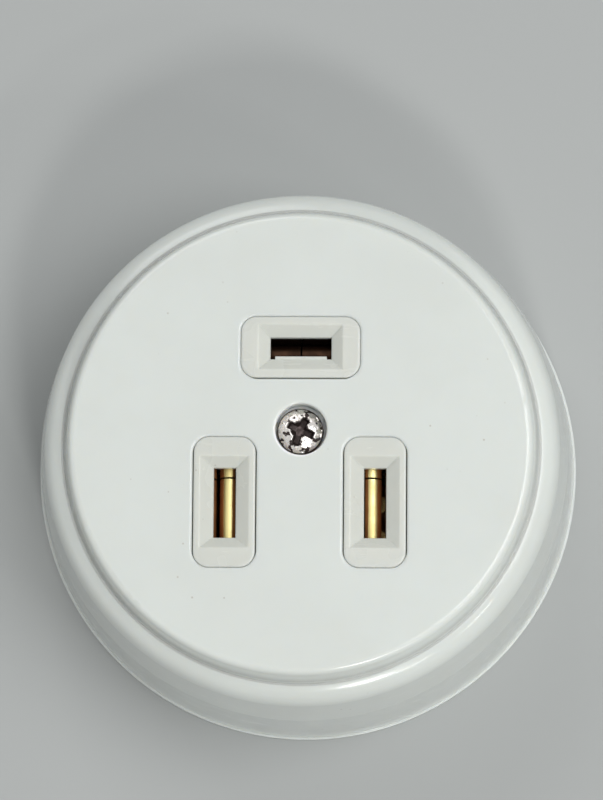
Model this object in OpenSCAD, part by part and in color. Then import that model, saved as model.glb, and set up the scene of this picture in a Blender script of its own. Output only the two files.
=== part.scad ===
// Round surface-mounted three-pole socket for flat blades, as used for cookers.
// Millimetres. It lies on its back: the back face is at z = 0 and the front looks along +Z.
// The earth slot is towards +Y. The live slot is at -X and the neutral slot at +X.

/* [Cover] */
// Height from the back face to the front face
overall_h = 38; // [36:0.5:44]
// Radius of the skirt at the back face, without its bead
base_r = 46.5; // [45.5:0.1:50]
// How far the rim, where the skirt's lean changes, lies inside the skirt's foot
rim_inset = 1.6; // [1:0.1:3]
// Height of the skirt below the rim
skirt_h = 19.6; // [16:0.2:22]
// Lean of the skirt above the rim
upper_lean = 8.8; // [7:0.2:11]
// Width between the rim and the front disc
shoulder_w = 5.1; // [4.6:0.1:6]
// Slope of the shoulder round the front disc
shoulder_slope = 24; // [15:1:35]
// Rounding of the shoulder's outer edge
shoulder_r = 2.7; // [2.5:0.1:3.5]
// Height of the front disc above the shoulder
disc_rise = 6.2; // [4.5:0.1:7]
// Lean of the disc's side
disc_draft = 5; // [3:1:12]
// Rounding of the disc's edge
disc_edge_r = 1.3; // [0.8:0.1:2.5]
// Width of the groove round the disc
groove_w = 0.35; // [0.2:0.05:0.6]
// Depth of the groove round the disc
groove_d = 0.7; // [0.3:0.1:1]
// Rounding of the edges of the apertures and of the recess in the middle
aperture_edge_r = 0.4; // [0.2:0.05:0.6]
// How far the bead at the back edge stands out
bead_w = 0.3; // [0.1:0.1:0.8]
// Height of the bead at the back edge
bead_h = 1.2; // [0.6:0.1:2.5]
// Thickness of the skirt and the shoulder
cover_wall = 2.4; // [1.8:0.1:2.8]
// Thickness of the front face
face_t = 2.5; // [1.8:0.1:3]
// Depth of the collars behind the front face
collar_h = 3; // [1.5:0.5:6]
// Thickness of the collars
collar_t = 1.2; // [0.8:0.1:1.6]
// Number of seating ribs inside the skirt
rib_count = 6; // [3:1:12]
// Thickness of a seating rib
rib_t = 1.6; // [1:0.1:2.4]
// How far a seating rib stands in from the skirt
rib_depth = 2.4; // [1.6:0.1:3]
// Half width of the cable knock-out in the skirt
knock_r = 8; // [5:0.5:9]
// Thickness of the skin left at the knock-out
knock_web = 0.9; // [0.6:0.1:1.2]

/* [Blade slots] */
// Distance of the live and neutral slots from the middle, across
live_x = 12.5; // [12.2:0.1:13]
// Distance of the live and neutral slots below the middle
live_y = 10; // [9:0.1:10.4]
// Distance of the earth slot above the middle
earth_y = 16; // [15.6:0.1:16.6]
// Width of every slot
slot_w = 3.7; // [3.2:0.1:4]
// Length of the live and neutral slots
live_slot_l = 11.7; // [10:0.1:12.6]
// Length of the earth slot
earth_slot_l = 10.2; // [9:0.1:11.2]
// Width of the lead-in round the live and neutral slots
live_funnel_w = 8.2; // [6:0.1:8.6]
// Length of the lead-in round the live and neutral slots
live_funnel_l = 15.4; // [14:0.1:17]
// Width of the lead-in round the earth slot
earth_funnel_w = 7.6; // [6:0.1:8.6]
// Length of the lead-in round the earth slot
earth_funnel_l = 14.1; // [13:0.1:16]
// Depth of the lead-ins
funnel_d = 1.6; // [1:0.1:2.2]
// Depth of the ledge on the inner side of the earth slot
earth_ledge = 0.5; // [0.2:0.1:0.8]
// Length of the notch at each end of that ledge
ledge_notch = 0.8; // [0.4:0.1:1.6]

/* [Contact block] */
// Width of every tower
tower_w = 10.3; // [10.2:0.1:10.8]
// Length of the live and neutral towers
live_tower_l = 21.8; // [20:0.1:23]
// Length of the earth tower
earth_tower_l = 19.9; // [18:0.1:21]
// Corner radius of the towers
tower_corner = 2.6; // [1.5:0.1:3.2]
// Rounding of the towers' front edges
tower_edge_r = 0.3; // [0.15:0.05:0.5]
// Gap between a tower and its aperture in the cover
tower_gap = 0.25; // [0.15:0.05:0.4]
// Wall of the towers
tower_wall = 1.4; // [1.2:0.05:1.5]
// Thickness of the roof that each slot passes through
roof_t = 3; // [2.6:0.1:4]
// Thickness of the block's flange
flange_t = 3; // [2.4:0.1:4]
// Margin of the flange round each tower
flange_margin = 1.4; // [0.6:0.1:1.4]
// Radius of the flange's middle
hub_r = 19; // [17.5:0.5:20]
// Radius of the pillar for the cover screw
pillar_r = 5.5; // [4.5:0.1:5.6]
// Height of the barriers beside the terminals, above the flange
barrier_h = 9; // [5:0.5:11]
// Thickness of the barriers
barrier_t = 1.5; // [1:0.1:2]
// Room between a clamp plate and the barriers
barrier_gap = 1.6; // [0.8:0.1:1.8]
// Wall round the block screws' holes
block_boss_wall = 2; // [1.4:0.1:2.2]

/* [Base plate] */
// Thickness of the base plate
plate_t = 4; // [3.6:0.1:5]
// Gap between the base plate and the skirt
plate_gap = 0.3; // [0.2:0.05:0.6]
// Gap between the base plate's pads and the towers
pad_gap = 0.15; // [0.1:0.05:0.3]
// How far the wall fixings lie inside the skirt's foot, across
fixing_in = 16.5; // [15.5:0.5:18.5]
// Distance of the wall fixings above the middle
fixing_y = 10; // [8:0.5:12]
// Width of the slotted wall fixing holes
fixing_w = 4.5; // [3.5:0.1:5.5]
// Length of the slotted wall fixing holes
fixing_l = 9; // [7:0.5:10]
// How far the middle of the rear cable entry lies inside the skirt's foot
entry_in = 15; // [14.5:0.5:15.5]
// Radius of the rear cable entry
entry_r = 8; // [5:0.5:8]

/* [Contacts] */
// Thickness of the contact strip
clip_t = 0.8; // [0.6:0.1:0.9]
// Width of the live and neutral contacts
live_clip_w = 13; // [11:0.1:14]
// Width of the earth contact
earth_clip_w = 11.6; // [10:0.1:13]
// Half the spread of a contact at its foot, between the strip's middles
clip_half = 2.6; // [2.4:0.05:2.7]
// Radius of the bends at a contact's foot, at the strip's middle
clip_bend = 0.9; // [0.6:0.05:1]
// Radius of the bends in the leaves, at the strip's middle
leaf_bend = 1.6; // [1:0.1:2.4]
// Place of the sprung leaf's pinch, towards the socket's middle
sprung_pinch = -0.7; // [-0.9:0.1:0]
// Height of the sprung leaf above its pinch
sprung_lip_h = 2; // [1.8:0.1:2.6]
// Radius of the roll at the sprung leaf's end, at the strip's middle
roll_r = 1; // [0.8:0.05:1.2]
// Lean of the sprung leaf's end after the roll
roll_lean = 118; // [95:1:125]
// Width of the slit that parts the leaves into two fingers
slit_w = 0.3; // [0.2:0.05:0.5]
// Distance from the end of the live and neutral slots to the slit
slit_in = 1.4; // [1:0.1:3]
// Place of the backing leaf's pinch, away from the socket's middle
backing_pinch = 2; // [1.8:0.05:2.2]
// Lean of the leaves' lips
lip_lean = 24; // [12:1:30]
// Height of the backing leaf's lip
lip_h = 2.6; // [2:0.1:2.8]
// Height of the upright foot of the leaves
clip_foot_h = 10; // [8:0.5:11]
// Gap between the leaves' tips and the tower's roof
clip_drop = 0.6; // [0.4:0.1:1]
// Thickness of the spring band
band_t = 0.5; // [0.3:0.1:0.6]
// Height of the spring band
band_h = 5; // [3:0.5:6]
// Play of the spring band round the contact
band_gap = 0.05; // [0.02:0.01:0.1]
// Inner radius of the spring band's corners
band_bend = 0.4; // [0.2:0.05:0.8]
// Opening of the spring band
band_open = 1.5; // [0.5:0.1:4]

/* [Terminals] */
// Thickness of the terminal bars
bar_t = 2; // [1.6:0.1:2.6]
// Width of the terminal bars
bar_w = 9; // [8:0.1:9.6]
// Distance of the terminal screws from their slots
terminal_x = 14; // [13.4:0.1:14.6]
// Length of the terminal bars beyond the screws
bar_tail = 5.5; // [4.8:0.1:6]
// Play of the bars in the towers' notches
bar_gap = 0.2; // [0.1:0.05:0.3]
// Thickness of the clamp plates
clamp_t = 1.2; // [1:0.1:1.5]
// Length of the clamp plates along the bars
clamp_l = 9; // [8:0.1:9.6]
// Depth of the clamp plates' turned edges below the plates
clamp_lip = 1.2; // [0.6:0.1:1.4]
// Radius of the rivets
rivet_r = 1; // [0.8:0.05:1.2]
// Radius of the rivets' heads
rivet_head_r = 1.6; // [1.4:0.05:1.6]
// Height of the rivets' heads
rivet_head_h = 0.7; // [0.5:0.05:0.9]
// Distance between the rivets in one contact
rivet_pitch = 6; // [5:0.1:7]

/* [Fasteners] */
// Distance of the cover screw above the middle
screw_y = 2; // [1.6:0.1:2.2]
// Radius of the cover screw
cover_screw_r = 1.95; // [1.6:0.05:2]
// Gap between the cover screw's tip and the base plate
cover_tip_gap = 1; // [0.5:0.1:2]
// Radius of the cover screw's head
cover_head_r = 3.85; // [3.4:0.05:4]
// Height of the cover screw's head
cover_head_h = 3; // [2.6:0.1:3.2]
// Radius of the recess for the cover screw's head
recess_r = 4.3; // [4.25:0.05:4.6]
// How far the recess is off the screw, across
recess_shift_x = 0.15; // [-0.2:0.05:0.2]
// How far the recess is off the screw, upwards
recess_shift_y = 0.2; // [-0.2:0.05:0.2]
// Radius of the boss behind the recess
boss_r = 5.8; // [5.4:0.1:6]
// Length of the boss behind the front face
boss_h = 8; // [6:0.5:10]
// Turn of the cross in the cover screw
cross_turn = 63; // [0:1:89]
// Width of the cross in the cover screw and the block screws
cross_w = 4.8; // [3.4:0.1:5]
// Width of the nut across its flats
nut_af = 7; // [6:0.1:7.4]
// Thickness of the nut
nut_t = 3.2; // [2.4:0.1:3.4]
// Radius of the terminal screws
terminal_r = 2.4; // [2:0.05:2.6]
// Radius of the terminal screws' heads
terminal_head_r = 4.3; // [4:0.1:4.4]
// Height of the terminal screws' heads
terminal_head_h = 3; // [2.4:0.1:3.4]
// Width of the slots in the terminal screws
driver_w = 1.2; // [0.8:0.1:1.4]
// Thickness of the lock washers
washer_t = 1.1; // [0.8:0.1:1.4]
// Radius of the lock washers
washer_r = 4; // [3.8:0.1:4.2]
// Distance of the block screws from the middle, across
block_screw_x = 12.5; // [12:0.1:13]
// Distance of the block screws above the middle
block_screw_y = 7.2; // [7:0.1:7.6]
// Radius of the block screws
block_screw_r = 1.6; // [1.3:0.05:1.75]
// Length of the block screws under their heads
block_screw_l = 12; // [9:0.5:13]
// Radius of the block screws' heads
block_head_r = 3.2; // [2.8:0.1:3.4]
// Height of the block screws' heads
block_head_h = 2.2; // [1.8:0.1:2.4]
// Depth of the block screws' heads below the back face
block_head_sink = 0.3; // [0.2:0.1:0.8]
// Gap between the terminal screws' tips and the base plate
terminal_tip_gap = 1; // [0.5:0.1:1.6]
// Play of a thread in its tapped hole
thread_gap = 0.05; // [0.03:0.01:0.1]
// Play round a screw or a nut in its plain hole
screw_gap = 0.3; // [0.26:0.02:0.4]

/* [Hidden] */
$fn = 96;

// How far a cut runs past the face it starts from
past = 1;
// Largest turn of one flat of a bend
bend_step = 8;
// Share of a pan head's height that is its upright side
head_side = 0.45;
// Depth, wing, root and mouth of a cross recess, as shares of its width
cross_depth = 0.5;
cross_wing = 0.24;
cross_root = 0.14;
cross_mouth = 0.36;
// Turn and sweep of the split in a lock washer
split_turn = 40;
split_sweep = 345;

// Finishes
COVER_WHITE = [0.86, 0.88, 0.86];
BLOCK_WHITE = [0.84, 0.84, 0.80];
BASE_WHITE = [0.80, 0.81, 0.78];
NICKEL = [0.66, 0.65, 0.61];
STEEL = [0.56, 0.57, 0.58];
BRASS = [0.80, 0.62, 0.28];

// Cover: the skirt leans in, more above the rim, and turns into a sloping shoulder round the disc
rim_r = base_r - rim_inset;
disc_r = rim_r - shoulder_w;
shoulder_z = overall_h - disc_rise;
skirt_lean = atan((base_r - rim_r) / skirt_h);
shoulder_foot = [disc_r, shoulder_z];
rim_point = [rim_r, skirt_h];
// Outward directions of the skirt, of its upper part and of the shoulder
skirt_out = [cos(skirt_lean), sin(skirt_lean)];
upper_out = [cos(upper_lean), sin(upper_lean)];
shoulder_out = [sin(shoulder_slope), cos(shoulder_slope)];
// Where the lines of the shoulder and of the upper skirt would meet, and the middle of their rounding
shoulder_run = (rim_point - shoulder_foot) * upper_out / cos(upper_lean + shoulder_slope);
shoulder_corner = shoulder_foot + shoulder_run * [cos(shoulder_slope), -sin(shoulder_slope)];
shoulder_mid = inside(shoulder_corner, upper_out, shoulder_out, shoulder_r);
// Corner of two lines with outward directions, after both are moved in
function inside(corner, out_a, out_b, inset) = corner - inset * (out_a + out_b) / (1 + out_a * out_b);
// Radius of the skirt's outside, and of the base plate that fits in it, at a height
function skirt_r(z) = base_r - z * tan(skirt_lean);
function plate_r(z) = skirt_r(z) - cover_wall / cos(skirt_lean) - plate_gap;
// Middle of the rounding at the disc's edge
disc_edge_mid = [disc_r - (disc_rise - disc_edge_r) * tan(disc_draft) - disc_edge_r / cos(disc_draft),
                 overall_h - disc_edge_r];
face_z = overall_h - face_t;
fixing_x = base_r - fixing_in;
entry_y = base_r - entry_in;

// Each pole: place of its slot, turn, tower length, slot length, lead-in width and length, contact width,
// depth of the slot's ledge, and the place of the contact's slit along it.
// In a pole's own axes +X points to the socket's middle, and the terminal lies towards -X.
live_slit = live_slot_l / 2 - slit_in;
LIVE = [[-live_x, -live_y], 0, live_tower_l, live_slot_l,
        live_funnel_w, live_funnel_l, live_clip_w, 0, live_slit];
NEUTRAL = [[live_x, -live_y], 180, live_tower_l, live_slot_l,
           live_funnel_w, live_funnel_l, live_clip_w, 0, -live_slit];
EARTH = [[0, earth_y], -90, earth_tower_l, earth_slot_l,
         earth_funnel_w, earth_funnel_l, earth_clip_w, earth_ledge, 0];
POLES = [LIVE, NEUTRAL, EARTH];
function place(pole) = pole[0];
function turn(pole) = pole[1];
function tower_l(pole) = pole[2];
function slot_l(pole) = pole[3];
function funnel_w(pole) = pole[4];
function funnel_l(pole) = pole[5];
function clip_w(pole) = pole[6];
function ledge(pole) = pole[7];
function slit(pole) = pole[8];

// Heights of the stack on the base plate
flange_z = plate_t + flange_t;
bar_z = flange_z + bar_t;
clip_mid_z = bar_z + clip_t / 2;
roof_z = overall_h - roof_t;
clip_top = roof_z - clip_drop;
leaf_foot = clip_mid_z + clip_foot_h;
clamp_z = bar_z + clamp_t;
washer_z = clamp_z + washer_t;
chamber_w = tower_w - 2 * tower_wall;
terminal_reach = terminal_x + bar_tail;
barrier_y = bar_w / 2 + bar_gap + clamp_t + barrier_gap;
land_l = terminal_reach + bar_gap;
tip_z = plate_t + terminal_tip_gap;

// Cover screw: its head is level with the front face, and its nut sits under the pillar
head_seat_z = overall_h - cover_head_h;
screw_tip_z = plate_t + cover_tip_gap;
cover_screw_l = head_seat_z - screw_tip_z;
recess_at = [recess_shift_x, screw_y + recess_shift_y];
boss_z = face_z - boss_h;
pillar_top = boss_z - screw_gap;
nut_top = screw_tip_z + nut_t;
block_seat_z = block_head_h + block_head_sink;
block_hole_top = block_seat_z + block_screw_l + screw_gap;
block_boss_cap = block_boss_wall / 2;

// Shared shapes

// Places its children in a pole's own axes
module at_pole(pole)
    translate([place(pole)[0], place(pole)[1], 0])
        rotate([0, 0, turn(pole)])
            children();

// Flat rounded rectangle about the origin
module rounded(w, l, r) {
    square([w - 2 * r, l], center = true);
    square([w, l - 2 * r], center = true);
    for (x = [-1, 1], y = [-1, 1])
        translate([x * (w / 2 - r), y * (l / 2 - r)])
            circle(r);
}

// Flat slot with round ends about the origin
module round_slot(l, w) {
    square([l - w, w], center = true);
    for (x = [-1, 1])
        translate([x * (l - w) / 2, 0])
            circle(w / 2);
}

// Edge view of the cut that rounds an edge at height 0.
// The material lies outwards where the side is 1, and inwards where it is -1.
module edge_profile(r, side)
    difference() {
        square(2 * r, center = true);
        translate([side * r, -r])
            circle(r);
    }

// Cut that rounds the front edge of a rounded rectangle
module edge_round(w, l, corner, r, side)
    for (x = [0, 1], y = [0, 1])
        mirror([x, 0, 0])
            mirror([0, y, 0]) {
                translate([w / 2, 0, 0])
                    rotate([90, 0, 0])
                        linear_extrude(l - 2 * corner, center = true)
                            edge_profile(r, side);
                translate([0, l / 2, 0])
                    rotate([90, 0, 90])
                        linear_extrude(w - 2 * corner, center = true)
                            edge_profile(r, side);
                translate([w / 2 - corner, l / 2 - corner, 0])
                    rotate_extrude(angle = 90)
                        translate([corner, 0])
                            edge_profile(r, side);
            }

// Four-sided lead-in that narrows downwards from w by l at the top to w0 by l0
module lead_in(w, l, w0, l0, depth) {
    run_w = (w - w0) / 2;
    run_l = (l - l0) / 2;
    intersection() {
        rotate([90, 0, 0])
            linear_extrude(l + 2 * past + 2 * run_l, center = true)
                wedge(w0, run_w, depth);
        rotate([90, 0, 90])
            linear_extrude(w + 2 * past + 2 * run_w, center = true)
                wedge(l0, run_l, depth);
    }
}

// Upright outline of a lead-in, with its mouth carried on past the face at height 0
module wedge(narrow, run, depth) {
    k = (depth + past) / depth;
    polygon([[-narrow / 2, -depth], [narrow / 2, -depth],
             [narrow / 2 + run * k, past], [-narrow / 2 - run * k, past]]);
}

// A folded strip follows a walk. Each leg is [straight run, turn, radius of the turn].
function heading(a) = [cos(a), sin(a)];
function left_of(a) = [-sin(a), cos(a)];
function bend(p, a, turn, r) =
    let (steps = ceil(abs(turn) / bend_step), side = sign(turn))
    [for (k = [1 : steps])
        let (b = a + turn * k / steps)
        [p + side * r * left_of(a) - side * r * left_of(b), b]];
function walk(legs, p, a, i = 0) = i == len(legs) ? [] :
    let (q = p + legs[i][0] * heading(a),
         turned = legs[i][1] == 0 ? [] : bend(q, a, legs[i][1], legs[i][2]),
         last = len(turned) == 0 ? [q, a] : turned[len(turned) - 1])
    concat([[q, a]], turned, walk(legs, last[0], last[1], i + 1));
module strip(legs, t, p = [0, 0], a = 0) {
    steps = concat([[p, a]], walk(legs, p, a));
    polygon(concat([for (s = steps) s[0] + t / 2 * left_of(s[1])],
                   [for (k = [len(steps) - 1 : -1 : 0]) steps[k][0] - t / 2 * left_of(steps[k][1])]));
}

// Half outline of the cover's outside without its disc, moved in by a wall thickness and down to a foot
module skirt_outline(inset, foot = 0) {
    top = shoulder_foot - inset * shoulder_out;
    round_r = shoulder_r - inset;
    polygon([[0, foot], [skirt_r(foot) - inset / cos(skirt_lean), foot],
             inside(rim_point, skirt_out, upper_out, inset), shoulder_mid + round_r * upper_out,
             shoulder_mid, shoulder_mid + round_r * shoulder_out, top, [0, top[1]]]);
    translate(shoulder_mid)
        circle(round_r, $fn = 180);
}

// Half outline of the front disc, down to the foot of its groove
module disc_outline() {
    foot = shoulder_z - groove_d;
    tangent = disc_edge_mid + disc_edge_r * heading(disc_draft);
    polygon([[0, foot], [disc_r, foot], [disc_r, shoulder_z], tangent, disc_edge_mid,
             [disc_edge_mid[0], overall_h], [0, overall_h]]);
    translate(disc_edge_mid)
        circle(disc_edge_r);
}

// Solid form of the cover's outside
module cover_form()
    rotate_extrude($fn = 180) {
        difference() {
            skirt_outline(0);
            translate([disc_r, shoulder_z - groove_d])
                square([groove_w, groove_d + past]);
        }
        square([base_r + bead_w, bead_h]);
        disc_outline();
    }

// Hollow of the cover
module cover_hollow()
    rotate_extrude($fn = 180) {
        skirt_outline(cover_wall, -past);
        square([disc_r - cover_wall, face_z]);
    }

// Ribs inside the skirt, whose lower ends seat on the base plate
module seating_ribs()
    intersection() {
        rotate_extrude($fn = 180)
            skirt_outline(cover_wall / 2);
        for (k = [0 : rib_count - 1])
            rotate([0, 0, 360 * k / rib_count])
                translate([rim_r - cover_wall - rib_depth, -rib_t / 2, plate_t])
                    cube([base_r, rib_t, skirt_h]);
    }

// Thinned patch of the skirt that is broken out for a cable
module knock_out()
    intersection() {
        rotate_extrude($fn = 180)
            skirt_outline(knock_web);
        translate([0, cover_wall + rib_depth - rim_r, plate_t])
            rotate([90, 0, 0])
                linear_extrude(base_r) {
                    translate([0, knock_r])
                        circle(knock_r);
                    translate([-knock_r, 0])
                        square([2 * knock_r, knock_r]);
                }
    }

module cover() color(COVER_WHITE)
    difference() {
        union() {
            difference() {
                cover_form();
                cover_hollow();
            }
            seating_ribs();
            for (pole = POLES)
                at_pole(pole)
                    translate([0, 0, face_z - collar_h])
                        linear_extrude(collar_h + face_t / 2)
                            rounded(tower_w + 2 * (tower_gap + collar_t),
                                    tower_l(pole) + 2 * (tower_gap + collar_t),
                                    tower_corner + tower_gap + collar_t);
            translate([recess_at[0], recess_at[1], boss_z])
                cylinder(h = boss_h + face_t / 2, r = boss_r);
        }
        for (pole = POLES)
            at_pole(pole) {
                w = tower_w + 2 * tower_gap;
                l = tower_l(pole) + 2 * tower_gap;
                translate([0, 0, boss_z - past])
                    linear_extrude(overall_h)
                        rounded(w, l, tower_corner + tower_gap);
                translate([0, 0, overall_h])
                    edge_round(w, l, tower_corner + tower_gap, aperture_edge_r, 1);
            }
        translate([recess_at[0], recess_at[1], head_seat_z])
            cylinder(h = overall_h, r = recess_r);
        translate([recess_at[0], recess_at[1], overall_h])
            rotate_extrude()
                translate([recess_r, 0])
                    edge_profile(aperture_edge_r, 1);
        translate([recess_at[0], recess_at[1], boss_z - past])
            cylinder(h = overall_h, r = cover_screw_r + screw_gap);
        knock_out();
    }

// Pads of the base plate that enter the towers from behind and carry the terminal bars
module pads()
    for (pole = POLES)
        at_pole(pole)
            difference() {
                translate([0, 0, plate_t / 2])
                    linear_extrude(flange_z - plate_t / 2)
                        square([chamber_w - 2 * pad_gap, tower_l(pole) - 2 * (tower_wall + pad_gap)],
                               center = true);
                for (y = [-1, 1])
                    translate([0, y * rivet_pitch / 2, flange_z - rivet_head_h - pad_gap])
                        cylinder(h = overall_h, r = rivet_head_r + pad_gap);
            }

module base_plate() color(BASE_WHITE)
    difference() {
        union() {
            cylinder(h = plate_t, r1 = plate_r(0), r2 = plate_r(plate_t), $fn = 180);
            pads();
        }
        translate([0, -entry_y, -past])
            cylinder(h = overall_h, r = entry_r);
        for (x = [-1, 1]) {
            translate([x * fixing_x, fixing_y, -past])
                linear_extrude(overall_h)
                    round_slot(fixing_l, fixing_w);
            translate([x * block_screw_x, block_screw_y, -past]) {
                cylinder(h = overall_h, r = block_screw_r + screw_gap);
                cylinder(h = block_seat_z + past, r = block_head_r + screw_gap);
            }
        }
    }

// Flange, towers and terminal lands of the block, before the chambers are cut
module block_form() {
    translate([0, 0, plate_t])
        linear_extrude(flange_t) {
            circle(hub_r);
            for (pole = POLES)
                at_pole(pole) {
                    rounded(tower_w + 2 * flange_margin, tower_l(pole) + 2 * flange_margin,
                            tower_corner + flange_margin);
                    translate([-land_l, -barrier_y - barrier_t])
                        square([land_l, 2 * (barrier_y + barrier_t)]);
                }
        }
    for (pole = POLES)
        at_pole(pole) {
            translate([0, 0, plate_t])
                linear_extrude(overall_h - plate_t)
                    rounded(tower_w, tower_l(pole), tower_corner);
            for (y = [-1, 1])
                translate([-land_l, y * (barrier_y + barrier_t / 2) - barrier_t / 2, plate_t])
                    cube([land_l - tower_w / 2 + tower_wall / 2, barrier_t, flange_t + barrier_h]);
        }
    translate([0, screw_y, plate_t])
        cylinder(h = pillar_top - plate_t, r = pillar_r);
    for (x = [-1, 1])
        translate([x * block_screw_x, block_screw_y, plate_t])
            cylinder(h = block_hole_top - plate_t + block_boss_cap, r = block_screw_r + block_boss_wall);
}

// Chamber, slot, lead-in, bar notch and screw clearance of one pole
module block_cuts(pole) {
    ledge_l = slot_l(pole) - 2 * ledge_notch;
    translate([-chamber_w / 2, -tower_l(pole) / 2 + tower_wall, plate_t - past])
        cube([chamber_w, tower_l(pole) - 2 * tower_wall, roof_z - plate_t + past]);
    difference() {
        translate([-slot_w / 2, -slot_l(pole) / 2, roof_z - past])
            cube([slot_w, slot_l(pole), roof_t + 2 * past]);
        if (ledge(pole) > 0)
            translate([slot_w / 2 - ledge(pole), -ledge_l / 2, roof_z])
                cube([slot_w, ledge_l, roof_t + 3 * past]);
    }
    translate([0, 0, overall_h]) {
        lead_in(funnel_w(pole), funnel_l(pole), slot_w, slot_l(pole), funnel_d);
        edge_round(tower_w, tower_l(pole), tower_corner, tower_edge_r, -1);
    }
    translate([-tower_w, -bar_w / 2 - bar_gap, flange_z])
        cube([tower_w, bar_w + 2 * bar_gap, bar_t + bar_gap]);
    translate([-terminal_x, 0, plate_t - past])
        cylinder(h = overall_h, r = terminal_r + screw_gap);
}

module contact_block() color(BLOCK_WHITE)
    difference() {
        block_form();
        for (pole = POLES)
            at_pole(pole)
                block_cuts(pole);
        translate([0, screw_y, plate_t - past]) {
            cylinder(h = overall_h, r = cover_screw_r + screw_gap);
            cylinder(h = nut_top - plate_t + past, r = (nut_af / 2 + screw_gap / 2) / cos(30), $fn = 6);
        }
        for (x = [-1, 1])
            translate([x * block_screw_x, block_screw_y, plate_t - past])
                cylinder(h = block_hole_top - plate_t + past, r = block_screw_r + thread_gap);
    }

// Height of a leaf's leaning part whose lip has a height
function leaf_rise(lip) = clip_top - lip - leaf_foot;

// Lean of a leaf whose pinch lies at a distance from the middle of the slot
function leaf_lean(pinch, lip) = atan((clip_half - pinch) / leaf_rise(lip));

// Runs of a leaf between its bends: upright foot, leaning part and lip
function leaf_runs(lean, lip) =
    let (low = leaf_bend * tan(lean / 2), high = leaf_bend * tan((lean + lip_lean) / 2))
    [clip_foot_h - clip_bend - low, leaf_rise(lip) / cos(lean) - low - high, lip / cos(lip_lean) - high];

// Edge view of a contact, walked from the backing leaf's tip down and up to the sprung leaf's tip
module contact_outline() {
    back = leaf_lean(backing_pinch, lip_h);
    front = leaf_lean(sprung_pinch, sprung_lip_h);
    back_runs = leaf_runs(back, lip_h);
    front_runs = leaf_runs(front, sprung_lip_h - clip_t / 2 - roll_r * (1 - sin(lip_lean)));
    front_lean_run = leaf_runs(front, sprung_lip_h)[1];
    strip([[back_runs[2], -back - lip_lean, leaf_bend], [back_runs[1], back, leaf_bend],
           [back_runs[0], 90, clip_bend], [2 * (clip_half - clip_bend), 90, clip_bend],
           [front_runs[0], front, leaf_bend], [front_lean_run, -front - lip_lean, leaf_bend],
           [front_runs[2], lip_lean - roll_lean, roll_r], [clip_t / 2, 0, 0]],
          clip_t, [-backing_pinch - lip_h * tan(lip_lean), clip_top], lip_lean - 90);
}

// Contact folded from one strip, with a sprung leaf and a backing leaf
module contact(pole) color(BRASS)
    at_pole(pole)
        difference() {
            rotate([90, 0, 0])
                linear_extrude(clip_w(pole), center = true)
                    contact_outline();
            translate([-tower_w / 2, slit(pole) - slit_w / 2, leaf_foot])
                cube([tower_w, slit_w, overall_h]);
            for (y = [-1, 1])
                translate([0, y * rivet_pitch / 2, bar_z - past])
                    cylinder(h = clip_t + 2 * past, r = rivet_r + thread_gap);
        }

// Steel band that keeps a contact's leaves together, open on the side of the sprung leaf
module spring_band(pole) color(STEEL)
    at_pole(pole) {
        x = clip_half + clip_t / 2 + band_gap + band_t / 2;
        y = clip_w(pole) / 2 + band_bend + band_t / 2;
        r = band_bend + band_t / 2;
        end = y - r - band_open / 2;
        translate([0, 0, leaf_foot - band_h])
            linear_extrude(band_h)
                strip([[end, 90, r], [2 * (x - r), 90, r], [2 * (y - r), 90, r],
                       [2 * (x - r), 90, r], [end, 0, 0]],
                      band_t, [x, band_open / 2], 90);
    }

module terminal_bar(pole) color(BRASS)
    at_pole(pole)
        difference() {
            translate([-terminal_reach, -bar_w / 2, flange_z])
                cube([terminal_reach + chamber_w / 2 - bar_gap, bar_w, bar_t]);
            translate([-terminal_x, 0, flange_z - past])
                cylinder(h = bar_t + 2 * past, r = terminal_r + thread_gap);
            for (y = [-1, 1])
                translate([0, y * rivet_pitch / 2, flange_z - past])
                    cylinder(h = bar_t + 2 * past, r = rivet_r + thread_gap);
        }

// Two rivets that hold a contact on its terminal bar
module rivets(pole) color(BRASS)
    at_pole(pole)
        for (y = [-1, 1])
            translate([0, y * rivet_pitch / 2, flange_z - rivet_head_h]) {
                cylinder(h = rivet_head_h, r = rivet_head_r);
                cylinder(h = bar_t + clip_t + 2 * rivet_head_h, r = rivet_r);
                translate([0, 0, rivet_head_h + bar_t + clip_t])
                    cylinder(h = rivet_head_h, r = rivet_head_r);
            }

// Clamp plate with its side edges turned down past the bar
module clamp_plate(pole) color(STEEL)
    at_pole(pole) {
        half = bar_w / 2 + bar_gap + clamp_t / 2;
        r = (clamp_t + bar_gap) / 2;
        translate([-terminal_x, 0, 0])
            difference() {
                rotate([90, 0, 90])
                    linear_extrude(clamp_l, center = true)
                        strip([[clamp_lip + clamp_t / 2 - r, -90, r], [2 * (half - r), -90, r],
                               [clamp_lip + clamp_t / 2 - r, 0, 0]],
                              clamp_t, [-half, bar_z - clamp_lip], 90);
                translate([0, 0, bar_z - past])
                    cylinder(h = clamp_t + 2 * past, r = terminal_r + screw_gap);
            }
    }

// Split lock washer
module lock_washer(pole) color(STEEL)
    at_pole(pole)
        translate([-terminal_x, 0, clamp_z])
            rotate([0, 0, split_turn])
                rotate_extrude(angle = split_sweep)
                    translate([terminal_r + screw_gap / 2, 0])
                        square([washer_r - terminal_r - screw_gap / 2, washer_t]);

// Pan head with its seat at height 0: a short upright side under a crown
module pan_head(r, h) {
    side = h * head_side;
    crown = (r * r + (h - side) * (h - side)) / (2 * (h - side));
    rotate_extrude()
        intersection() {
            square([r, h]);
            translate([0, h - crown])
                circle(crown, $fn = 180);
        }
}

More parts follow.
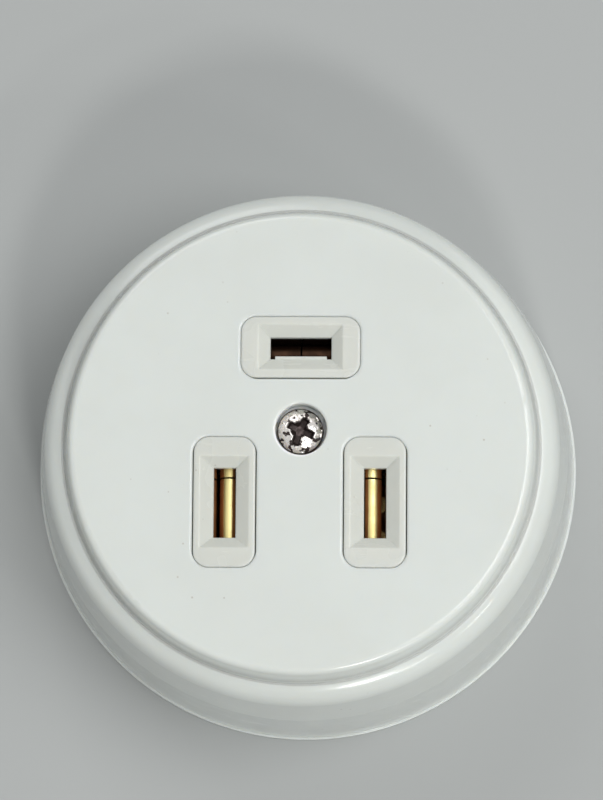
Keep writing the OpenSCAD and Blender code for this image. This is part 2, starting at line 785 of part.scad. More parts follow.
// Tapered cross for a screwdriver, cut down from height 0
module cross_recess(w) {
    depth = w * cross_depth;
    wing = w * cross_wing;
    root = w * cross_root;
    mouth = root + (depth + past) / depth * w * cross_mouth;
    intersection() {
        translate([0, 0, -depth])
            cylinder(h = depth + past, r1 = root, r2 = mouth);
        union() {
            cube([2 * w, wing, 4 * depth], center = true);
            cube([wing, 2 * w, 4 * depth], center = true);
        }
    }
    translate([0, 0, -depth])
        cylinder(h = depth + past, r1 = root, r2 = wing);
}

module cover_screw() color(NICKEL)
    translate([0, screw_y, head_seat_z])
        difference() {
            union() {
                pan_head(cover_head_r, cover_head_h);
                translate([0, 0, -cover_screw_l])
                    cylinder(h = cover_screw_l + cover_head_h / 2, r = cover_screw_r);
            }
            translate([0, 0, cover_head_h])
                rotate([0, 0, cross_turn])
                    cross_recess(cross_w);
        }

module cover_nut() color(STEEL)
    translate([0, screw_y, nut_top - nut_t])
        difference() {
            cylinder(h = nut_t, r = nut_af / 2 / cos(30), $fn = 6);
            translate([0, 0, -past])
                cylinder(h = nut_t + 2 * past, r = cover_screw_r + thread_gap);
        }

// Screw put in from the back, through the base plate into the block
module block_screw(side) color(STEEL)
    translate([side * block_screw_x, block_screw_y, block_seat_z])
        mirror([0, 0, 1])
            difference() {
                union() {
                    pan_head(block_head_r, block_head_h);
                    translate([0, 0, -block_screw_l])
                        cylinder(h = block_screw_l + block_head_h / 2, r = block_screw_r);
                }
                translate([0, 0, block_head_h])
                    cross_recess(cross_w * block_head_r / cover_head_r);
            }

module terminal_screw(pole) color(NICKEL)
    at_pole(pole)
        translate([-terminal_x, 0, washer_z])
            difference() {
                union() {
                    pan_head(terminal_head_r, terminal_head_h);
                    translate([0, 0, tip_z - washer_z])
                        cylinder(h = washer_z - tip_z + terminal_head_h / 2, r = terminal_r);
                }
                translate([0, 0, terminal_head_h])
                    cube([3 * terminal_head_r, driver_w, terminal_head_h], center = true);
            }

cover();
base_plate();
contact_block();
cover_screw();
cover_nut();
block_screw(-1);  // block_screw_left
block_screw(1);  // block_screw_right
contact(LIVE);  // live_contact
spring_band(LIVE);  // live_spring_band
terminal_bar(LIVE);  // live_terminal_bar
rivets(LIVE);  // live_rivets
clamp_plate(LIVE);  // live_clamp_plate
lock_washer(LIVE);  // live_lock_washer
terminal_screw(LIVE);  // live_terminal_screw
contact(NEUTRAL);  // neutral_contact
spring_band(NEUTRAL);  // neutral_spring_band
terminal_bar(NEUTRAL);  // neutral_terminal_bar
rivets(NEUTRAL);  // neutral_rivets
clamp_plate(NEUTRAL);  // neutral_clamp_plate
lock_washer(NEUTRAL);  // neutral_lock_washer
terminal_screw(NEUTRAL);  // neutral_terminal_screw
contact(EARTH);  // earth_contact
spring_band(EARTH);  // earth_spring_band
terminal_bar(EARTH);  // earth_terminal_bar
rivets(EARTH);  // earth_rivets
clamp_plate(EARTH);  // earth_clamp_plate
lock_washer(EARTH);  // earth_lock_washer
terminal_screw(EARTH);  // earth_terminal_screw
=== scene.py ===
"""Looks of a round surface-mounted socket for three flat blades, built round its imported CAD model.

Everything is in metres and in the CAD frame: the back face lies at z = 0 and the front looks along +Z.
"""
import logging
import math
from dataclasses import dataclass, field
from enum import Enum
from typing import Sequence

import bpy
import numpy as np
from mathutils import Matrix, Vector, noise


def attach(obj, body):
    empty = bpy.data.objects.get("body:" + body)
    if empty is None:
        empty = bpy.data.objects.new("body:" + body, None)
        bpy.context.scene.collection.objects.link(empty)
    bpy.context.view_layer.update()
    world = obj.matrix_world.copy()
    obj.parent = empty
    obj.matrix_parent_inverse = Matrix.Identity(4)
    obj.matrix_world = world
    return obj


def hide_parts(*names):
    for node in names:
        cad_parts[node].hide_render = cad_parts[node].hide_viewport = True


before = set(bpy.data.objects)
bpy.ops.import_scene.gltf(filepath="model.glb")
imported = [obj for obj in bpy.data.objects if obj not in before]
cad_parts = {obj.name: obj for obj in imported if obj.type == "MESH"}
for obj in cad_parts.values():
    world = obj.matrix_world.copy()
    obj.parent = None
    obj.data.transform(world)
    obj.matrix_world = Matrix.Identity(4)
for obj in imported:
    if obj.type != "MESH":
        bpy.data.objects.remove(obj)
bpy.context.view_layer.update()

LOG = logging.getLogger("socket")
MM = 0.001

Colour = tuple[float, float, float]
Point = tuple[float, float, float]


class Slot(Enum):
    """The record's material slots."""

    COVER = "cover_white"
    BLOCK = "block_white"
    BASE = "base_white"
    NICKEL = "nickel"
    ZINC = "zinc_steel"
    SPRING = "spring_steel"
    BRASS = "brass"


# Shader maths


class Field:
    """A shader value on which Python's operators add Math nodes."""

    def __init__(self, graph: "Graph", socket: bpy.types.NodeSocket) -> None:
        """Wraps a socket.

        Args:
            graph: The material's graph.
            socket: The output socket that carries the value.
        """
        self.graph = graph
        self.socket = socket

    def _math(self, operation: str, *values: "Field | float") -> "Field":
        """Adds one Math node.

        Args:
            operation: The Math node's operation.
            *values: Its inputs, in order.

        Returns:
            The result.
        """
        node = self.graph.node("Math", {"operation": operation}, dict(enumerate(values)))
        return Field(self.graph, node.outputs[0])

    def __add__(self, other: "Field | float") -> "Field":
        """Sum."""
        return self._math("ADD", self, other)

    __radd__ = __add__

    def __mul__(self, other: "Field | float") -> "Field":
        """Product."""
        return self._math("MULTIPLY", self, other)

    __rmul__ = __mul__

    def __sub__(self, other: "Field | float") -> "Field":
        """Difference."""
        return self._math("SUBTRACT", self, other)

    def __rsub__(self, other: "Field | float") -> "Field":
        """Difference from a number."""
        return self._math("SUBTRACT", other, self)

    def __truediv__(self, other: "Field | float") -> "Field":
        """Quotient."""
        return self._math("DIVIDE", self, other)

    def __pow__(self, other: "Field | float") -> "Field":
        """Power."""
        return self._math("POWER", self, other)

    def clamp(self) -> "Field":
        """The value kept between 0 and 1."""
        return self._math("MAXIMUM", self._math("MINIMUM", self, 1.0), 0.0)

    def distance_to(self, value: float) -> "Field":
        """How far the value is from a number."""
        return self._math("ABSOLUTE", self - value)

    def step(self, low: float, high: float) -> "Field":
        """Smooth step.

        Args:
            low: Where the result starts to leave 0.
            high: Where it reaches 1. It may lie below low, and then the step falls.

        Returns:
            The stepped value.
        """
        node = self.graph.node(
            "MapRange",
            {"interpolation_type": "SMOOTHSTEP"},
            {"Value": self, "From Min": min(low, high), "From Max": max(low, high),
             "To Min": float(low > high), "To Max": float(low < high)},
        )
        return Field(self.graph, node.outputs[0])


class Graph:
    """The node tree of one material, with its Principled shader."""

    def __init__(self, name: str) -> None:
        """Makes an empty material.

        Args:
            name: The material's name.
        """
        self.material = bpy.data.materials.new(name)
        self.material.use_nodes = True
        self.tree = self.material.node_tree
        self.tree.nodes.clear()
        self.shader = self.node("BsdfPrincipled")
        self.node("OutputMaterial", inputs={"Surface": self.shader.outputs[0]})
        self.coordinates = self.node("TexCoord").outputs["Object"]

    def node(self, kind: str, settings: dict | None = None, inputs: dict | None = None) -> bpy.types.Node:
        """Adds a node.

        Args:
            kind: The node's type without its ShaderNode prefix.
            settings: Its own settings, which are set first.
            inputs: Values or links of its sockets, by name, identifier or place.

        Returns:
            The node.
        """
        node = self.tree.nodes.new("ShaderNode" + kind)
        for name, value in (settings or {}).items():
            setattr(node, name, value)
        for key, value in (inputs or {}).items():
            self.feed(self._socket(node, key), value)
        return node

    @staticmethod
    def _socket(node: bpy.types.Node, key: str | int) -> bpy.types.NodeSocket:
        """An input socket of a node, by place, identifier or name."""
        if isinstance(key, int):
            return node.inputs[key]
        found = [s for s in node.inputs if s.identifier == key]
        return found[0] if found else node.inputs[key]

    def feed(self, socket: bpy.types.NodeSocket, value: object) -> None:
        """Links a socket or sets its value.

        Args:
            socket: The input socket.
            value: A Field, an output socket, a number, a colour or a vector.
        """
        if isinstance(value, Field):
            value = value.socket
        if isinstance(value, bpy.types.NodeSocket):
            self.tree.links.new(value, socket)
        elif socket.type == "RGBA":
            socket.default_value = (*value[:3], 1.0)
        else:
            socket.default_value = value

    def axis(self) -> tuple[Field, Field, Field]:
        """The three object coordinates, in metres."""
        node = self.node("SeparateXYZ", inputs={0: self.coordinates})
        return tuple(Field(self, s) for s in node.outputs)

    def stretched(self, scale: Point, turn: Point = (0.0, 0.0, 0.0)) -> bpy.types.NodeSocket:
        """Object coordinates, turned and then stretched.

        Args:
            scale: Factor along each axis.
            turn: Euler turn in radians.

        Returns:
            The vector socket.
        """
        node = self.node("Mapping", inputs={"Vector": self.coordinates, "Rotation": turn, "Scale": scale})
        return node.outputs[0]

    def clouds(self, size: float, detail: float = 2.0, rough: float = 0.5,
               where: bpy.types.NodeSocket | None = None) -> Field:
        """Soft noise.

        Args:
            size: Size of its blotches in metres.
            detail: Number of finer layers.
            rough: Strength of the finer layers.
            where: Coordinates, if not the object's own.

        Returns:
            A value round 0.5.
        """
        node = self.node("TexNoise", inputs={
            "Vector": where or self.coordinates, "Scale": 1 / size, "Detail": detail, "Roughness": rough})
        return Field(self, node.outputs[0])

    def cells(self, size: float) -> Field:
        """Distance from the middle of the nearest cell.

        Args:
            size: Size of a cell in metres.

        Returns:
            The distance, in cells.
        """
        node = self.node("TexVoronoi", inputs={"Vector": self.coordinates, "Scale": 1 / size})
        return Field(self, node.outputs["Distance"])

    def distance_from(self, y_place: float) -> Field:
        """Distance in metres from the upright line at x = 0 and that y."""
        x, y, _ = self.axis()
        y = y - y_place
        return (x * x + y * y) ** 0.5

    def attribute(self, name: str) -> Field:
        """A mesh's own value of that name."""
        return Field(self, self.node("Attribute", {"attribute_name": name}).outputs["Fac"])

    def blend(self, factor: Field | float, a: object, b: object) -> bpy.types.NodeSocket:
        """Mixes two colours.

        Args:
            factor: Share of the second.
            a: First colour or socket.
            b: Second colour or socket.

        Returns:
            The colour socket.
        """
        node = self.node("Mix", {"data_type": "RGBA"}, {
            "Factor_Float": factor, "A_Color": a, "B_Color": b})
        return next(s for s in node.outputs if s.identifier == "Result_Color")

    def bumps(self, *layers: tuple[Field, float], edge: float = 0.0) -> None:
        """Adds height layers as bumps.

        Args:
            *layers: Height field and its full height in metres.
            edge: Radius in metres to which sharp edges look softened.
        """
        height = layers[0][0] * (layers[0][1] / MM)
        for value, size in layers[1:]:
            height = height + value * (size / MM)
        node = self.node("Bump", inputs={"Strength": 1.0, "Distance": MM, "Height": height})
        if edge:
            soft = self.node("Bevel", {"samples": 6}, {"Radius": edge})
            self.feed(node.inputs["Normal"], soft.outputs[0])
        self.feed(self.shader.inputs["Normal"], node.outputs[0])

    def dress(self, **values: object) -> bpy.types.Material:
        """Feeds the Principled shader.

        Args:
            **values: Inputs of the shader, with _ for a space.

        Returns:
            The finished material.
        """
        for name, value in values.items():
            self.feed(self.shader.inputs[name.replace("_", " ")], value)
        return self.material


# Finishes

# Painted shade: the dark line in the cover's groove.
GROOVE_PAINTED_SHADE: Colour = (0.36, 0.34, 0.33)
# Painted shade: the dark inside of the block's chambers.
CHAMBER_PAINTED_SHADE: Colour = (0.085, 0.045, 0.026)
# Painted light: the bright wall of the cover's screw hole.
HOLE_PAINTED_LIGHT: Colour = (0.94, 0.95, 0.93)
CHIPPED_PLATE: Colour = (0.76, 0.73, 0.70)
# Painted shade of the screw: dark in its cross and round its head's side, a little lighter at the cross's
# deepest middle.
SCREW_PAINTED_SHADE: Colour = (0.030, 0.020, 0.018)
SCREW_PIT_PAINTED_SHADE: Colour = (0.125, 0.092, 0.088)
FLOOR_CLOUD: Colour = (0.5, 0.5, 0.5)


@dataclass(frozen=True)
class MouldedPlastic:
    """White moulded plastic with faint clouds, specks, rubs and a fine orange peel.

    The groove, into which a dark line of shade is painted, is given by radius, height and width, the painted
    shade of the chambers by the heights between which it darkens, and the painted light on the screw hole's
    wall by its place along y and its radius.
    """

    name: str
    colour: Colour
    cloud_colour: Colour
    roughness: float
    peel: float = 0.004 * MM
    rub: float = 0.07
    darkening: float = 0.5
    speck_colour: Colour = (0.36, 0.31, 0.25)
    cloud_size: float = 22 * MM
    fine_size: float = 1.6 * MM
    speck_cell: float = 3.1 * MM
    speck_patch: float = 14 * MM
    groove_shade_patch: float = 5 * MM
    groove_shade_share: float = 0.45
    rub_size: float = 2.2 * MM
    rub_stretch: Point = (0.12, 1.0, 1.0)
    rub_turn: Point = (0.3, 0.2, 0.9)
    smear_size: float = 9 * MM
    peel_size: float = 0.9 * MM
    wave_size: float = 6 * MM
    edge: float = 0.0
    glow: float = 0.0
    glow_depth: float = 2.0 * MM
    groove: tuple[float, float, float] | None = None
    chamber_shade_heights: tuple[float, float] | None = None
    painted_light_hole: tuple[float, float] | None = None

    def _groove_painted_shade(self, g: Graph) -> Field:
        """Where shade is painted into the groove as a patchy dark line.

        Args:
            g: The material's graph.

        Returns:
            Its share, from 0 to 1.
        """
        radius, height, width = self.groove
        in_ring = g.distance_from(0.0).distance_to(radius).step(width * 0.85, width * 0.4)
        at_height = g.axis()[2].distance_to(height).step(0.30 * MM, 0.20 * MM)
        return in_ring * at_height * (0.55 + 0.45 * g.clouds(self.groove_shade_patch, 2.0))

    def build(self) -> bpy.types.Material:
        """Makes the material.

        Returns:
            The material.
        """
        g = Graph(self.name)
        cloud = g.clouds(self.cloud_size, 3.0, 0.55).step(0.35, 0.68)
        fine = g.clouds(self.fine_size, 3.0, 0.6)
        tone = (cloud * 0.75 + fine * 0.25).clamp()
        colour = g.blend(tone, self.colour, self.cloud_colour)
        specks = g.cells(self.speck_cell).step(0.075, 0.03) * g.clouds(self.speck_patch, 1.0).step(0.5, 0.62)
        colour = g.blend(specks * self.darkening, colour, self.speck_colour)
        # Painted shade: a patchy dark line in the groove.
        if self.groove:
            colour = g.blend(self._groove_painted_shade(g) * self.groove_shade_share, colour, GROOVE_PAINTED_SHADE)
        # Painted shade: the block turns dark brown below these heights, down in the chambers and the gaps
        # round the towers.
        if self.chamber_shade_heights:
            colour = g.blend(g.axis()[2].step(*self.chamber_shade_heights), colour, CHAMBER_PAINTED_SHADE)
        # Painted light: the screw hole's shaded wall is painted bright white.
        if self.painted_light_hole:
            place, reach = self.painted_light_hole
            painted_light_share = g.distance_from(place).step(reach + 0.3 * MM, reach)
            colour = g.blend(painted_light_share, colour, HOLE_PAINTED_LIGHT)
        along_rubs = g.stretched(self.rub_stretch, self.rub_turn)
        rubs = g.clouds(self.rub_size, 4.0, 0.65, along_rubs).step(0.56, 0.70)
        smear = g.clouds(self.smear_size).step(0.42, 0.62)
        roughness = self.roughness + rubs * self.rub + smear * (self.rub * 0.5)
        g.bumps((g.clouds(self.peel_size), self.peel), (g.clouds(self.wave_size), self.peel * 6),
                (rubs, -self.peel * 0.25), edge=self.edge)
        if self.glow:
            g.dress(Subsurface_Weight=self.glow, Subsurface_Radius=(1.0, 0.9, 0.75),
                    Subsurface_Scale=self.glow_depth)
        return g.dress(Base_Color=colour, Roughness=roughness, IOR=1.5)


@dataclass(frozen=True)
class WorkedMetal:
    """Plated or rolled metal with tarnish, streaks from rolling and small pits, and on a screw painted shade
    in its recess.

    A painted highlight on a contact's lip, standing for the lamps' reflection, is given by the heights from
    which it shows, its band by place and half width along x.
    """

    name: str
    colour: Colour
    tarnish: Colour
    tarnish_share: float
    roughness: float
    streaks: Point = (1.0, 1.0, 1.0)
    grain: float = 0.6 * MM
    bump: float = 0.006 * MM
    blotch_size: float = 4 * MM
    pit_cell: float = 1.1 * MM
    pit_patch: float = 3 * MM
    dent_size: float = 1.4 * MM
    mottle_size: float = 0.7 * MM
    worn: bool = False
    highlight_heights: tuple[float, float] | None = None
    highlight_band: tuple[float, float] = (12.08 * MM, 0.70 * MM)
    band_waver: float = 0.30 * MM
    band_softness: float = 0.08 * MM
    painted_highlight_colour: Colour = (0.82, 0.71, 0.34)

    def _lip_painted_highlight(self, g: Graph) -> Field:
        """Where a highlight is painted on the contact's lip.

        Args:
            g: The material's graph.

        Returns:
            Its share, from 0 to 1.
        """
        x, _, z = g.axis()
        place, half_width = self.highlight_band
        across = x.distance_to(0.0) + (g.clouds(2.5 * MM, 2.0) - 0.5) * self.band_waver
        in_band = across.distance_to(place).step(half_width + self.band_softness, half_width)
        return in_band * z.step(*self.highlight_heights)

    def build(self) -> bpy.types.Material:
        """Makes the material.

        Returns:
            The material.
        """
        g = Graph(self.name)
        share = self.tarnish_share
        blotch = g.clouds(self.blotch_size, 4.0, 0.6).step(0.62 - 0.3 * share, 0.78 - 0.2 * share)
        streak = g.clouds(self.grain, 3.0, 0.6, g.stretched(self.streaks))
        pits = g.cells(self.pit_cell).step(0.16, 0.05) * g.clouds(self.pit_patch, 2.0).step(0.5, 0.6)
        dull = (blotch * share + pits * 0.5 + (streak - 0.5) * 0.25).clamp()
        colour = g.blend(dull, self.colour, self.tarnish)
        roughness = self.roughness + dull * 0.22 + (streak - 0.5) * 0.16
        metallic: Field | float = 1.0
        # Painted highlight: a pale gold band on the lip stands for the lamps' reflection in the brass.
        if self.highlight_heights:
            painted_highlight = self._lip_painted_highlight(g)
            colour = g.blend(painted_highlight, colour, g.blend(dull * 0.2, self.painted_highlight_colour, self.colour))
            roughness = roughness + painted_highlight * 0.16
            metallic = 0.4 + painted_highlight * 0.6
        if self.worn:
            # Painted shade in the screw's cross and round its head's side, together with real smudges and
            # chips.
            shade_and_smudge = g.attribute("darkening")
            chip = g.attribute("chip")
            colour = g.blend(chip, colour, CHIPPED_PLATE)
            colour = g.blend(shade_and_smudge.step(0.0, 0.55), colour, SCREW_PAINTED_SHADE)
            mottle = 0.25 + 0.75 * g.clouds(self.mottle_size, 3.0, 0.6).step(0.35, 0.62)
            colour = g.blend(shade_and_smudge.step(0.86, 1.0) * mottle, colour, SCREW_PIT_PAINTED_SHADE)
            roughness = roughness + shade_and_smudge * 0.25 + chip * 0.20
            metallic = 1.0 - shade_and_smudge * 0.55
        dents = g.clouds(self.dent_size, 3.0, 0.55)
        g.bumps((streak, self.bump), (pits, -self.bump * 3), (dents, self.bump * 3))
        return g.dress(Base_Color=colour, Roughness=roughness, Metallic=metallic)


@dataclass(frozen=True)
class Backdrop:
    """Plain pale floor with a barely visible tone."""

    name: str = "floor_pale"
    colour: Colour = (0.42, 0.435, 0.43)
    cloud_size: float = 0.4

    def build(self) -> bpy.types.Material:
        """Makes the material.

        Returns:
            The material.
        """
        g = Graph(self.name)
        tone = g.clouds(self.cloud_size, 2.0, 0.4)
        colour = g.blend(tone * 0.06, self.colour, FLOOR_CLOUD)
        return g.dress(Base_Color=colour, Roughness=0.85, Specular_IOR_Level=0.2)


# The cover carries painted shade in its groove and painted light in its screw hole; the block carries painted
# shade in its chambers.
FINISHES = {
    Slot.COVER: MouldedPlastic("cover_gloss", (0.700, 0.735, 0.705), (0.675, 0.705, 0.672), 0.16,
                               edge=0.30 * MM, glow=0.6, groove=(39.97 * MM, 33.38 * MM, 0.35 * MM),
                               painted_light_hole=(2.0 * MM, 4.25 * MM)),
    Slot.BLOCK: MouldedPlastic("block_gloss", (0.662, 0.678, 0.630), (0.630, 0.645, 0.595), 0.24, darkening=0.6,
                               edge=0.35 * MM, glow=0.6, chamber_shade_heights=(35.15 * MM, 34.6 * MM)),
    Slot.BASE: MouldedPlastic("base_satin", (0.610, 0.625, 0.590), (0.570, 0.585, 0.550), 0.42,
                              peel=0.008 * MM, darkening=0.8),
    Slot.NICKEL: WorkedMetal("nickel_plate", (0.70, 0.68, 0.64), (0.36, 0.31, 0.26), 0.4, 0.24),
    Slot.ZINC: WorkedMetal("zinc_plate", (0.60, 0.61, 0.63), (0.40, 0.38, 0.36), 0.5, 0.36),
    Slot.SPRING: WorkedMetal("spring_steel_blued", (0.16, 0.14, 0.13), (0.07, 0.05, 0.04), 0.5, 0.38,
                             streaks=(1.0, 1.0, 9.0)),
    Slot.BRASS: WorkedMetal("brass_strip", (0.86, 0.62, 0.26), (0.40, 0.22, 0.09), 0.45, 0.22,
                            streaks=(1.0, 8.0, 1.0)),
}
# The contacts' dark browns are painted shade of the brass deep in the slots; the live and neutral contacts
# also carry a painted highlight on their lips.
CONTACT_FINISHES = {
    "live_contact": WorkedMetal("contact_brass_painted_light", (0.40, 0.165, 0.055), (0.24, 0.090, 0.030), 0.6, 0.30,
                                streaks=(1.0, 8.0, 1.0), highlight_heights=(33.60 * MM, 33.75 * MM)),
    "earth_contact": WorkedMetal("contact_earth_painted_shade", (0.060, 0.032, 0.020), (0.020, 0.011, 0.008), 0.6, 0.45,
                                 streaks=(8.0, 1.0, 1.0)),
}
CONTACT_FINISHES["neutral_contact"] = CONTACT_FINISHES["live_contact"]
SCREW_FINISH = WorkedMetal("nickel_worn_painted_shade", (0.72, 0.69, 0.66), (0.36, 0.30, 0.27), 0.45, 0.22, worn=True)


# Meshes


def add_object(name: str, data: bpy.types.ID) -> bpy.types.Object:
    """Makes an object of some data and links it to the scene.

    Args:
        name: The object's name.
        data: Its mesh, light or camera.

    Returns:
        The object.
    """
    thing = bpy.data.objects.new(name, data)
    bpy.context.scene.collection.objects.link(thing)
    return thing


def ring_mesh(name: str, rings: np.ndarray, attributes: dict[str, np.ndarray]) -> bpy.types.Object:
    """A closed skin through rings of points, with a point at each end.

    Args:
        name: The object's name.
        rings: Array of rings by points by 3. The first and last ring are drawn together to their middle.
        attributes: Values for each point, by name.

    Returns:
        The object, shaded smooth.
    """
    count, around, _ = rings.shape
    first, last = rings[0].mean(0), rings[-1].mean(0)
    body = rings[1:-1].reshape(-1, 3)
    verts = np.vstack([first, body, last])
    faces: list[tuple[int, ...]] = []
    inner = count - 2
    for i in range(around):
        j = (i + 1) % around
        faces.append((0, 1 + i, 1 + j))
        for k in range(inner - 1):
            a, b = 1 + k * around, 1 + (k + 1) * around
            faces.append((a + i, b + i, b + j, a + j))
        end = 1 + (inner - 1) * around
        faces.append((end + i, len(verts) - 1, end + j))
    mesh = bpy.data.meshes.new(name)
    mesh.from_pydata(verts.tolist(), [], faces)
    mesh.shade_smooth()
    for key, values in attributes.items():
        layer = mesh.attributes.new(key, "FLOAT", "POINT")
        flat = np.concatenate([[values[0].mean()], values[1:-1].ravel(), [values[-1].mean()]])
        layer.data.foreach_set("value", flat.astype(np.float32))
    return add_object(name, mesh)


def smooth(value: np.ndarray | float, low: float, high: float) -> np.ndarray | float:
    """Smooth step of numbers from 0 at low to 1 at high, which may lie below low."""
    t = np.clip((value - low) / (high - low), 0, 1)
    return t * t * (3 - 2 * t)


def rough_field(points: np.ndarray, size: float, place: float) -> np.ndarray:
    """Fractal noise of three layers at points.

    Args:
        points: Array of points by 3, in millimetres.
        size: Size of a blotch in millimetres.
        place: Shift of the pattern.

    Returns:
        Values of about -1 to 1.
    """
    shift = Vector((place, place * 1.7, place * 0.3))
    return np.array([noise.fractal(Vector(p) / size + shift, 1.0, 2.0, 3) for p in points])


@dataclass(frozen=True)
class Roll:
    """A rounding of the cover's outline: its middle and radius, and the angles at its top and foot.

    Lengths are in millimetres and angles in degrees.
    """

    middle: tuple[float, float]
    radius: float
    top: float
    foot: float

    def angle_share(self, angle: np.ndarray) -> np.ndarray:
        """How far angles lie from the top of the rounding to its foot."""
        return np.clip((self.top - angle) / (self.top - self.foot), 0, 1)

    def angle_at(self, share: np.ndarray) -> np.ndarray:
        """Angle at a share of the way from top to foot."""
        return self.top + (self.foot - self.top) * share

    def holds(self, far: np.ndarray, height: np.ndarray) -> np.ndarray:
        """Which points of the outline lie on the rounding."""
        angle = self.angle(far, height)
        gap = np.abs(np.hypot(far - self.middle[0], height - self.middle[1]) - self.radius)
        return (gap < 0.02) & (angle < self.top + 1.0) & (angle > self.foot - 1.0)

    def angle(self, far: np.ndarray, height: np.ndarray) -> np.ndarray:
        """Angle of points about the middle, in degrees."""
        return np.degrees(np.arctan2(height - self.middle[1], far - self.middle[0]))

    def point(self, angle: np.ndarray) -> tuple[np.ndarray, np.ndarray]:
        """Points of the rounding at angles."""
        turn = np.radians(angle)
        return self.middle[0] + self.radius * np.cos(turn), self.middle[1] + self.radius * np.sin(turn)


@dataclass(frozen=True)
class Aperture:
    """An opening of the cover round a tower: its place, its turn and the tower's half length.

    Lengths are in millimetres, the turn in degrees. The far side is at negative x before the turn.
    """

    place: tuple[float, float]
    turn: float
    half_length: float
    close_far_side: bool = False


